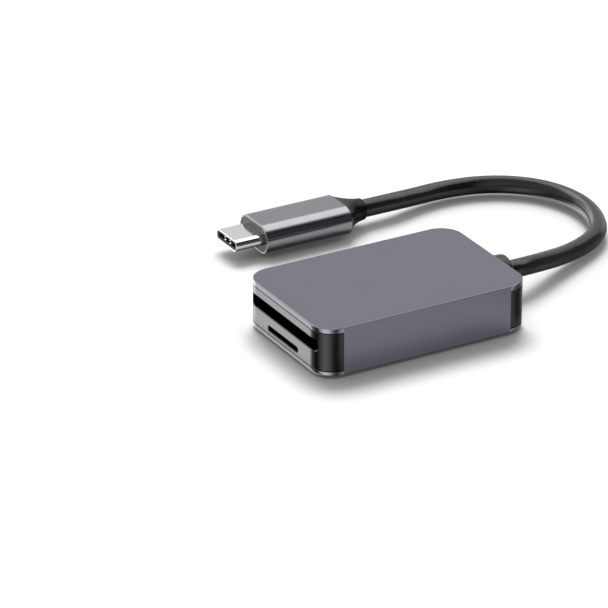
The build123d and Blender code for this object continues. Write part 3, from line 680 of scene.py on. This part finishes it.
# %% [markdown]
# ## Boot
# The boot is moulded over the end of the sleeve and narrows to the cable in a hollow curve, so the
# cable can't kink there. Its sections go from a flattened round to a circle. A skin over a dozen
# sections follows that curve, with a small round at its end and a spigot inside the sleeve.

# %% Boot
BOOT_LENGTH, BOOT_WAIST_AT, BOOT_ROUND = 5.3, 2.9, 0.15
BOOT_START, BOOT_WAIST, BOOT_END = (11.0, 5.7), (6.0, 4.8), (4.55, 4.4)
SPIGOT, SPIGOT_LENGTH = (10.4, 5.1), 2.1


def through(first, middle, last, t, middle_at):
    """A smooth value along the boot, through its sizes at the sleeve, the waist and the end."""
    a, b, c = 0.0, middle_at, BOOT_LENGTH
    return (
        first * (t - b) * (t - c) / ((a - b) * (a - c)) + middle * (t - a) * (t - c) / ((b - a) * (b - c))
        + last * (t - a) * (t - b) / ((c - a) * (c - b))
    )


def plug_ring(width, height, y):
    """A flattened round across the plug."""
    return [(PLUG_X + u, y, PLUG_Z + v) for u, v in rounded(width, height, height / 2 - 0.001, 20)]


boot_rings = [plug_ring(*SPIGOT, SLEEVE_REAR - SPIGOT_LENGTH), plug_ring(*SPIGOT, SLEEVE_REAR)]
for step in range(15):
    t = (BOOT_LENGTH - BOOT_ROUND) * step / 14
    size = [through(*sizes, t, BOOT_WAIST_AT) for sizes in zip(BOOT_START, BOOT_WAIST, BOOT_END)]
    boot_rings.append(plug_ring(*size, SLEEVE_REAR + t))
for turn in (math.radians(v) for v in (30, 60, 90)):
    lost = 2 * BOOT_ROUND * (1 - math.cos(turn))
    along = SLEEVE_REAR + BOOT_LENGTH - BOOT_ROUND + BOOT_ROUND * math.sin(turn)
    boot_rings.append(plug_ring(BOOT_END[0] - lost, BOOT_END[1] - lost, along))
boot_mesh = bmesh.new()
skin(boot_mesh, boot_rings)
tidy_mesh(boot_mesh)
boot = stand_for(piece_from(boot_mesh, "boot_moulding", soft_black), "plug_boot")


# %% [markdown]
# ## Contacts
# Each socket and the plug hold rows of equal stamped strips: nine for the larger card, eight for the
# smaller one, and two rows of twelve in the plug. One strip is made from a given path, and a Geometry Nodes tree
# repeats it at an even pitch, with the second row turned over, as it is in a plug that fits both ways.

# %% One strip
def strip(bm, path, thickness, width, x=0.0):
    """A bent strip that follows pairs of Y and Z, in millimetres."""
    rings = []
    for k, (y, z) in enumerate(path):
        before, after = path[max(k - 1, 0)], path[min(k + 1, len(path) - 1)]
        run = Vector((after[0] - before[0], after[1] - before[1])).normalized()
        side = Vector((-run.y, run.x)) * thickness / 2
        rings.append([
            (x - width / 2, y + side.x, z + side.y), (x + width / 2, y + side.x, z + side.y),
            (x + width / 2, y - side.x, z - side.y), (x - width / 2, y - side.x, z - side.y),
        ])
    skin(bm, rings)


def strip_mesh(name, path, thickness, width):
    """One strip as a mesh in metres, to be repeated."""
    bm = bmesh.new()
    strip(bm, path, thickness, width)
    tidy_mesh(bm)
    bmesh.ops.scale(bm, vec=(MM, MM, MM), verts=bm.verts)
    mesh = bpy.data.meshes.new(name)
    bm.to_mesh(mesh)
    bm.free()
    return mesh


print("strips ready")

# %% Row tree
row_tree, given = tree_with("row_of_strips", [
    ("Count", WHOLE), ("Pitch", FLOAT), ("Rows", WHOLE), ("Place X", FLOAT), ("Place Z", FLOAT),
    ("Finish", FINISH),
])
gaps = solved(row_tree, given["Count"], 1.0, "SUBTRACT")
begin = solved(row_tree, solved(row_tree, gaps, given["Pitch"], "MULTIPLY"), -0.5, "MULTIPLY")
start = add_node(row_tree, "ShaderNodeCombineXYZ", [("X", begin)])
pace = add_node(row_tree, "ShaderNodeCombineXYZ", [("X", given["Pitch"])])
line = add_node(
    row_tree, "GeometryNodeMeshLine",
    [("Count", given["Count"]), ("Start Location", start.outputs[0]), ("Offset", pace.outputs[0])], mode="OFFSET",
)
first_row = add_node(
    row_tree, "GeometryNodeInstanceOnPoints", [("Points", line.outputs[0]), ("Instance", given["Geometry"])]
)
second_row = add_node(
    row_tree, "GeometryNodeTransform", [("Geometry", first_row.outputs[0])], [("Rotation", (0.0, math.pi, 0.0))]
)
has_two = add_node(
    row_tree, "FunctionNodeCompare", [(2, given["Rows"])], [(3, 1)], data_type="INT", operation="GREATER_THAN"
)
maybe = add_node(
    row_tree, "GeometryNodeSwitch", [("Switch", has_two.outputs[0]), ("True", second_row.outputs[0])],
    input_type="GEOMETRY",
)
rows = add_node(row_tree, "GeometryNodeJoinGeometry", [(0, first_row.outputs[0])])
row_tree.links.new(maybe.outputs[0], rows.inputs[0])
spot = add_node(row_tree, "ShaderNodeCombineXYZ", [("X", given["Place X"]), ("Z", given["Place Z"])])
set_down = add_node(
    row_tree, "GeometryNodeTransform", [("Geometry", rows.outputs[0]), ("Translation", spot.outputs[0])]
)
whole = add_node(row_tree, "GeometryNodeRealizeInstances", [("Geometry", set_down.outputs[0])])
dressed = add_node(
    row_tree, "GeometryNodeSetMaterial", [("Geometry", whole.outputs[0]), ("Material", given["Finish"])]
)
add_node(row_tree, "NodeGroupOutput", [(0, dressed.outputs[0])])
print("row tree with", len(row_tree.nodes), "nodes")

# %% Rows of contacts
card_path = [
    (0.4, 4.025), (-2.1, 4.025), (-2.6, 4.1), (-6.6, 5.08), (-7.0, 5.14), (-7.3, 5.07), (-7.9, 4.85),
]
card_contacts = grown(
    "card_contact_row", row_tree, strip_mesh("card_contact", card_path, 0.15, 0.9),
    count=9, pitch=2.5 * MM, rows=1, place_x=0.0, place_z=0.0, finish=gold,
)
stand_for(card_contacts, "sd_contacts")
small_path = [
    (-4.6, 3.09), (-7.1, 3.09), (-7.5, 3.04), (-9.7, 2.45), (-10.0, 2.41), (-10.3, 2.44), (-10.9, 2.55),
]
small_contacts = grown(
    "small_card_contact_row", row_tree, strip_mesh("small_card_contact", small_path, 0.12, 0.6),
    count=8, pitch=1.1 * MM, rows=1, place_x=0.0, place_z=0.0, finish=gold,
)
stand_for(small_contacts, "microsd_contacts")
plug_path = [(-10.65, 0.42), (-10.35, 0.36), (-10.0, 0.33), (-9.6, 0.35), (-8.6, 0.42), (2.15, 0.42)]
plug_contacts = grown(
    "plug_contact_rows", row_tree, strip_mesh("plug_contact", plug_path, 0.12, 0.26),
    count=12, pitch=0.5 * MM, rows=2, place_x=PLUG_X * MM, place_z=PLUG_Z * MM, finish=gold,
)
stand_for(plug_contacts, "plug_contacts")

# %% [markdown]
# ## Ground springs in the plug's mouth
# Two thin plates ground the plug inside its shell. Each has two fingers that come through the front of
# the insulator and bow into the mouth, where they catch the light as two bright specks. They are strips
# as well, so the same helper bends them, and the upper plate is the lower one turned about the axis.

# %% Ground springs
spring_mesh = bmesh.new()
strip(spring_mesh, [(-7.15, -0.83), (-9.95, -0.83)], 0.08, 5.2)
finger = [
    (-9.9, -0.82), (-10.3, -0.76), (-10.7, -0.66), (-11.05, -0.55), (-11.2, -0.43), (-11.22, -0.30),
    (-11.12, -0.20), (-10.95, -0.17), (-10.75, -0.22), (-10.45, -0.42),
]
for x in (-1.0, 1.0):
    strip(spring_mesh, finger, 0.05, 0.5, x)
lower = spring_mesh.faces[:] + spring_mesh.edges[:] + spring_mesh.verts[:]
upper = bmesh.ops.duplicate(spring_mesh, geom=lower)["geom"]
bmesh.ops.rotate(
    spring_mesh, verts=[v for v in upper if isinstance(v, bmesh.types.BMVert)], cent=(0, 0, 0),
    matrix=Matrix.Rotation(math.pi, 3, "Y"),
)
bmesh.ops.translate(spring_mesh, verts=spring_mesh.verts, vec=(PLUG_X, 0.0, PLUG_Z))
tidy_mesh(spring_mesh)
springs = piece_from(spring_mesh, "ground_spring_pair", nickel)
stand_for(springs, "plug_ground_springs")

# %% [markdown]
# ## Pieces kept from the CAD
# The caps with their slots, the sockets, the boards and the chips are right as they are in the CAD
# model, edges and lead-ins included. Making them again would add nothing, so each only takes its finish.

# %% Finishes on the CAD nodes
kept_finishes = {
    "front_cap": gloss_black, "rear_cap": gloss_black, "circuit_board": board_green,
    "sd_socket_base": socket_black, "sd_socket_shell": sheet_steel, "microsd_socket_base": socket_black,
    "microsd_socket_shell": sheet_steel, "bridge_controller": chip_black, "crystal": sheet_steel,
    "regulator": chip_black, "capacitors": ceramic, "resistors": chip_black, "cable_wires": cable_insulation,
    "plug_inner_mould": face_black, "plug_contact_housing": socket_black, "plug_latch": sheet_steel,
    "plug_board": board_green, "plug_wires": plug_insulation,
}
for name, finish in kept_finishes.items():
    nodes[name].data.materials.clear()
    nodes[name].data.materials.append(finish)
print("finishes on", len(kept_finishes), "CAD nodes")

# %% [markdown]
# ## The cable's ends
# The real cable bends, and the plug goes where it goes. The cable's curve above runs on inside the
# collar and the boot, and its printed length is that of the whole curve.

# %% Cable ends
print("the cable runs from the collar to the boot")

# %% [markdown]
# ## Studio
# Glossy black and satin metal show what stands round them more than their own colour. So the room
# matters: light cards and dark gaps at chosen directions. The world holds them, as soft-edged patches
# in azimuth and elevation. Mirrored rays see cards and a band of light below the horizon, matt
# surfaces see two large soft lights, and the camera sees plain white.

# %% Directions in the room
world = bpy.data.worlds.new("studio_room")
scene.world = world
world.use_nodes = True
room = world.node_tree
room.nodes.clear()


def calc(operation, first, second=None, third=None):
    """A maths node in the room, on sockets or numbers."""
    return solved(room, first, second, operation, third)


def soft_step(source, inside, outside):
    """1 up to a distance, falling smoothly to 0 at another."""
    node = add_node(
        room, "ShaderNodeMapRange", [("Value", source)],
        [("From Min", inside), ("From Max", outside), ("To Min", 1.0), ("To Max", 0.0)],
        interpolation_type="SMOOTHSTEP",
    )
    return node.outputs["Result"]


direction = room.nodes.new("ShaderNodeTexCoord").outputs["Generated"]
parts = add_node(room, "ShaderNodeSeparateXYZ", [("Vector", direction)]).outputs
azimuth = calc("ARCTAN2", parts["X"], calc("MULTIPLY", parts["Y"], -1.0))
elevation = calc("ARCSINE", parts["Z"])
print("azimuth runs from the front, -Y, towards +X")


# %% [markdown]
# ### Light cards and a band of light
# A product studio has white cards on stands. Each card here was placed by following the camera's ray
# off a face: the top plate mirrors a card at the rear left, the rounded side of the sleeve a strip high
# above it, and the upright faces mirror a band that goes round below the horizon. The gaps in the
# band make the dark stripes on the round corners. The last three cards light the top plate for views
# from other sides. The one for the front left has to stay faint, because the sleeve mirrors it too.

# %% Cards and band
def reach(source, middle, half, edge):
    """1 within an angle of the middle, with a soft edge outside it, in degrees."""
    off = calc("WRAP", calc("SUBTRACT", source, math.radians(middle)), math.pi, -math.pi)
    return soft_step(calc("ABSOLUTE", off), math.radians(half), math.radians(half + edge))


def card(across, along, strength):
    """A light card: its middle, half size and soft edge in azimuth and in elevation, in degrees."""
    return calc("MULTIPLY", calc("MULTIPLY", reach(azimuth, *across), reach(elevation, *along)), strength)


BAND_MOST = 3.0  # a ramp's colours end at 1, so the band is scaled


def band_of_light(stops):
    """Light that goes round: pairs of azimuth in degrees and strength."""
    greys = [(0.5 + degrees / 360.0, 3 * (strength / BAND_MOST,)) for degrees, strength in stops]
    turn = calc("MULTIPLY_ADD", azimuth, 0.5 / math.pi, 0.5)
    return calc("MULTIPLY", colour_by(room, turn, greys), BAND_MOST)


print("cards and band ready")

# %% Light for mirrors and for matt surfaces
BAND_TOP, BAND_FADES, BAND_ENDS = (math.radians(v) for v in (6, 54, 78))
low = band_of_light([
    (-180, 0.13), (-160, 0.13), (-140, 0.16), (-119, 0.28), (-98, 0.90), (-82, 2.80), (-58, 2.80), (-51, 1.25),
    (-46, 0.60), (-30, 0.13), (-19, 0.03), (-8, 0.05), (6, 0.58), (20, 1.18), (29, 1.32), (40, 1.20), (51, 0.86),
    (65, 0.30), (79, 0.06), (94, 0.08), (106, 0.38), (116, 0.60), (126, 0.64), (137, 0.36), (150, 0.17),
    (165, 0.07), (172, 0.10), (180, 0.13),
])
low = calc("MULTIPLY", low, soft_step(elevation, 0.0, BAND_TOP))
low = calc("MULTIPLY", low, soft_step(calc("MULTIPLY", elevation, -1.0), BAND_FADES, BAND_ENDS))
mirror_cards = [
    card((-135, 66, 18), (54, 15, 7), 2.15),  # the rounded sides of the sleeve and the cable's upper side
    card((-125, 40, 8), (14, 16, 8), 0.76),  # the top plate
    card((-76, 22, 6), (22, 26, 6), 1.6),  # the edges over the front
    card((20, 62, 12), (34, 28, 8), 0.6),  # the top plate seen from behind
    card((152, 26, 10), (18, 14, 8), 0.14),  # the same from the front left
    card((0, 180, 1), (90, 14, 8), 0.6),  # and from above
]
matt_cards = [card((0, 180, 1), (75, 15, 14), 0.35), card((-72, 18, 6), (22, 26, 6), 0.5)]
print("light cards:", len(mirror_cards), "mirrored and", len(matt_cards), "for matt surfaces")

# %% What each kind of ray sees
MIRROR_FILL, MATT_FILL = 0.02, 0.03


def total(fill, lights):
    """The sum of some lights over a faint fill."""
    for light in lights:
        fill = calc("ADD", fill, light)
    return fill


def either(choice, chosen, other):
    """One value where the choice is 1, another where it is 0."""
    return calc("ADD", calc("MULTIPLY", chosen, choice), calc("MULTIPLY", other, calc("SUBTRACT", 1.0, choice)))


rays = room.nodes.new("ShaderNodeLightPath").outputs
lit = either(rays["Is Glossy Ray"], total(MIRROR_FILL, [low, *mirror_cards]), total(MATT_FILL, matt_cards))
strength = either(rays["Is Camera Ray"], 1.0, lit)
backdrop = add_node(room, "ShaderNodeBackground", [("Strength", strength)], [("Color", (1.0, 1.0, 1.0, 1.0))])
add_node(room, "ShaderNodeOutputWorld", [("Surface", backdrop.outputs[0])])
print("room with", len(room.nodes), "nodes")

# %% [markdown]
# ## Floor
# The reader lies on pale paper. Three things make its shadow: the lamp, a darker tone close to the
# pieces, and a faint glow that only the camera sees, so the shadow never goes black. An Ambient
# Occlusion node finds what is close. Its normal leans to the back left, towards the lamp, so the tone
# lies on the side away from it.

# %% Sheet of paper
FLOOR_HALF, FLOOR_DROP = 3.0, 0.0005
corners = [(-1, -1), (1, -1), (1, 1), (-1, 1)]
floor_mesh = bpy.data.meshes.new("studio_floor")
floor_mesh.from_pydata([(FLOOR_HALF * x, FLOOR_HALF * y, -FLOOR_DROP) for x, y in corners], [], [(0, 1, 2, 3)])
floor = bpy.data.objects.new("studio_floor", floor_mesh)
scene.collection.objects.link(floor)
print("floor", 2 * FLOOR_HALF, "m across")

# %% Paper and its shadow
LEAN, CLOSE, GLOW = (-0.62, 0.35, 0.70), 9 * MM, 0.25
SHADES = [(0.0, 0.08), (0.20, 0.15), (0.31, 0.42), (0.50, 0.62), (0.75, 0.78), (0.95, 0.91), (1.0, 0.93)]
paper = bpy.data.materials.new("studio_paper")
paper.use_nodes = True
tree = paper.node_tree
tree.nodes.clear()
lean = add_node(tree, "ShaderNodeCombineXYZ", values=list(zip("XYZ", LEAN)))
close_by = add_node(
    tree, "ShaderNodeAmbientOcclusion", [("Normal", lean.outputs[0])], [("Distance", CLOSE)], samples=16
)
tone = colour_by(tree, close_by.outputs["AO"], [(place, 3 * (grey,)) for place, grey in SHADES])
kinds = tree.nodes.new("ShaderNodeLightPath").outputs
matt_paper = add_node(tree, "ShaderNodeBsdfDiffuse", [("Color", tone)])
glow = add_node(
    tree, "ShaderNodeEmission",
    [("Color", tone), ("Strength", solved(tree, kinds["Is Camera Ray"], GLOW, "MULTIPLY"))],
)
lit_paper = add_node(tree, "ShaderNodeAddShader", [(0, matt_paper.outputs[0]), (1, glow.outputs[0])])
print("paper with", len(SHADES), "shades")


# %% [markdown]
# ### The floor in the reflections
# White paper would wash out the dark reflections in the black caps. So mirrored rays go through a part
# of it, to the band of light. More of it is clear in front of the reader, beside its rear corner and
# under the far side of the loop, and less in a strip close to the front lip.

# %% Paper for mirrored rays
def rising(source, low, high):
    """0 up to a place on the floor, rising to 1 at another, in millimetres."""
    return add_node(
        tree, "ShaderNodeMapRange", [("Value", source)], [("From Min", low * MM), ("From Max", high * MM)]
    ).outputs["Result"]


CLEAR, STRIP = 0.58, 0.20
place = add_node(tree, "ShaderNodeTexCoord").outputs["Object"]
spots = add_node(tree, "ShaderNodeSeparateXYZ", [("Vector", place)]).outputs
across, along = spots["X"], spots["Y"]
in_front, far_side = rising(along, -16, -22), rising(along, 40, 50)
rear_corner = solved(tree, rising(along, 22, 28), rising(across, 2, 6), "MULTIPLY")
front_strip = solved(tree, rising(along, -25.6, -24.2), rising(across, 12.5, 10), "MULTIPLY")
all_clear = solved(tree, solved(tree, in_front, far_side, "MAXIMUM"), rear_corner, "MAXIMUM")
cleared = solved(tree, all_clear, 1.0 - CLEAR, "MULTIPLY_ADD", CLEAR)
cleared = solved(tree, front_strip, -STRIP, "MULTIPLY_ADD", cleared)
share = solved(tree, kinds["Is Glossy Ray"], cleared, "MULTIPLY")
clear = add_node(tree, "ShaderNodeBsdfTransparent")
mix = add_node(
    tree, "ShaderNodeMixShader", [(0, share), (1, lit_paper.outputs[0]), (2, clear.outputs[0])]
)
add_node(tree, "ShaderNodeOutputMaterial", [("Surface", mix.outputs[0])])
floor_mesh.materials.append(paper)
print("paper material with", len(tree.nodes), "nodes")

# %% [markdown]
# ## Lamp
# One large soft lamp stands high at the back left, so the shadows fall to the front right with a soft
# edge, as in the photograph. It lights the paper and the matt surfaces only: mirrored rays don't see
# it, so the metal shows the cards and nothing else.

# %% Lamp
LAMP_PLACE, LAMP_AIM = Vector((-1.10, 0.50, 1.65)), Vector((-0.01, 0.01, 0.0))
lamp_data = bpy.data.lights.new("back_lamp", "AREA")
lamp_data.size = 1.1
lamp_data.energy = 42.0
lamp = bpy.data.objects.new("back_lamp", lamp_data)
lamp.location = LAMP_PLACE
lamp.rotation_euler = (LAMP_PLACE - LAMP_AIM).to_track_quat("Z", "Y").to_euler()
lamp.visible_glossy = False
scene.collection.objects.link(lamp)
print("lamp", lamp.name, "with", lamp_data.energy, "W")
